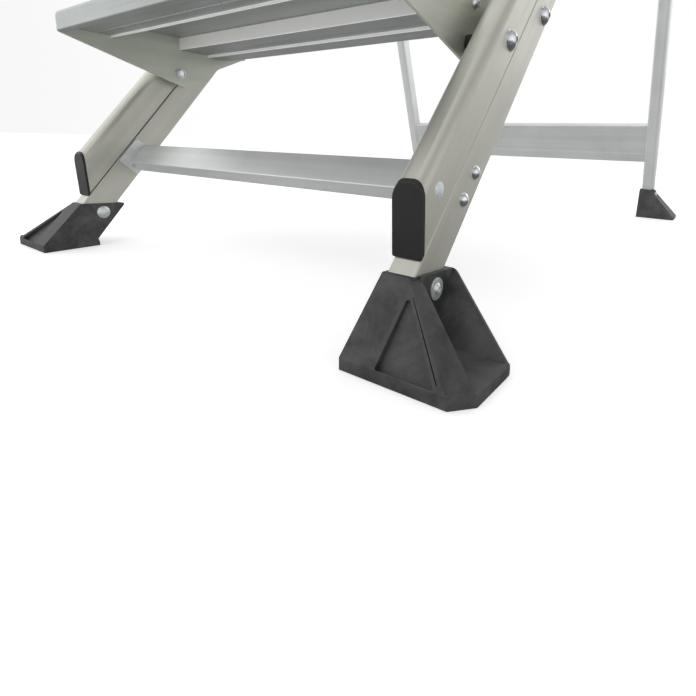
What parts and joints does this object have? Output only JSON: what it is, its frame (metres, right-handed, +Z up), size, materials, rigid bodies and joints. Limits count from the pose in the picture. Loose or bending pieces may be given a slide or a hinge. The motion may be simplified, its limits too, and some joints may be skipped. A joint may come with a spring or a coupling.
{
  "type": "folding work platform",
  "caption": "Folding aluminium work platform: deep lower step and upper deck between leaning rails, sliding nose bars, spreading rubber feet and a hinged rear frame.",
  "frame": {"origin": "on the floor under the middle of the open platform's box", "axes": "+Y from the front legs to the rear frame, +Z up, +X to the right when facing the rear frame"},
  "size_m": [0.75, 1.0684, 0.8426],
  "materials": {
    "frame_aluminium": "warm grey anodised, satin",
    "plate_aluminium": "satin sheet",
    "tread_aluminium": "ribbed satin extrusion",
    "rear_aluminium": "satin mill finish",
    "zinc_steel": "zinc plated",
    "bright_steel": "bright plated",
    "foot_rubber": "moulded, slightly mottled",
    "black_plastic": "moulded satin"
  },
  "bodies": {
    "front_frame": {"front_tube_left": "frame_aluminium", "front_tube_right": "frame_aluminium", "front_crossbar": "rear_aluminium", "top_rail": "frame_aluminium", "front_foot_left": "foot_rubber", "front_foot_right": "foot_rubber", "front_foot_bolts": "zinc_steel", "crossbar_rivets": "bright_steel", "hinge_bracket_left": "zinc_steel", "hinge_bracket_right": "zinc_steel", "bracket_rivets": "zinc_steel", "hinge_shaft": "zinc_steel", "hinge_spacers": "black_plastic", "hinge_end_caps": "black_plastic", "front_tube_plugs": "black_plastic", "tube_pivot_bolts": "bright_steel", "tube_pivot_nuts": "zinc_steel", "tube_pivot_spacers": "black_plastic"},
    "deck": {"deck_platform": "tread_aluminium", "deck_gusset_left": "plate_aluminium", "deck_gusset_right": "plate_aluminium", "deck_screws": "bright_steel"},
    "step": {"step_tread": "tread_aluminium", "step_gusset_left": "plate_aluminium", "step_gusset_right": "plate_aluminium", "step_screws": "bright_steel"},
    "nose_bars": {"nose_bar_left": "frame_aluminium", "nose_bar_right": "frame_aluminium", "nose_bottom_caps": "black_plastic", "nose_top_caps": "black_plastic", "nose_rivets": "zinc_steel", "nose_pivot_bolts": "bright_steel", "nose_pivot_nuts": "zinc_steel", "nose_pivot_spacers": "black_plastic"},
    "rear_frame": {"rear_leg_left": "rear_aluminium", "rear_leg_right": "rear_aluminium", "rear_lower_crossbar": "rear_aluminium", "rear_upper_crossbar": "rear_aluminium", "rear_foot_left": "foot_rubber", "rear_foot_right": "foot_rubber", "rear_foot_screws": "zinc_steel", "rear_hinge_bushes": "black_plastic", "rear_leg_plugs": "black_plastic"}
  },
  "joints": [
    {"name": "deck_fold", "type": "hinge", "parent": "front_frame", "child": "deck", "pos_m": [0, 0.01136, 0.5914], "axis": [-1, 0, 0], "range_deg": [0, 131]},
    {"name": "step_fold", "type": "hinge", "parent": "front_frame", "child": "step", "pos_m": [0, -0.2529, 0.2874], "axis": [-1, 0, 0], "range_deg": [0, 131]},
    {"name": "nose_fold", "type": "hinge", "parent": "deck", "child": "nose_bars", "pos_m": [0, -0.07235, 0.55325], "axis": [-1, 0, 0], "range_deg": [-131, 0]},
    {"name": "rear_fold", "type": "hinge", "parent": "front_frame", "child": "rear_frame", "pos_m": [0, 0.25097, 0.75272], "axis": [-1, 0, 0], "range_deg": [0, 60]}
  ],
  "couplings": [
    {"joint": "step_fold", "follows": "deck_fold", "ratio": 1},
    {"joint": "nose_fold", "follows": "deck_fold", "ratio": -1}
  ]
}
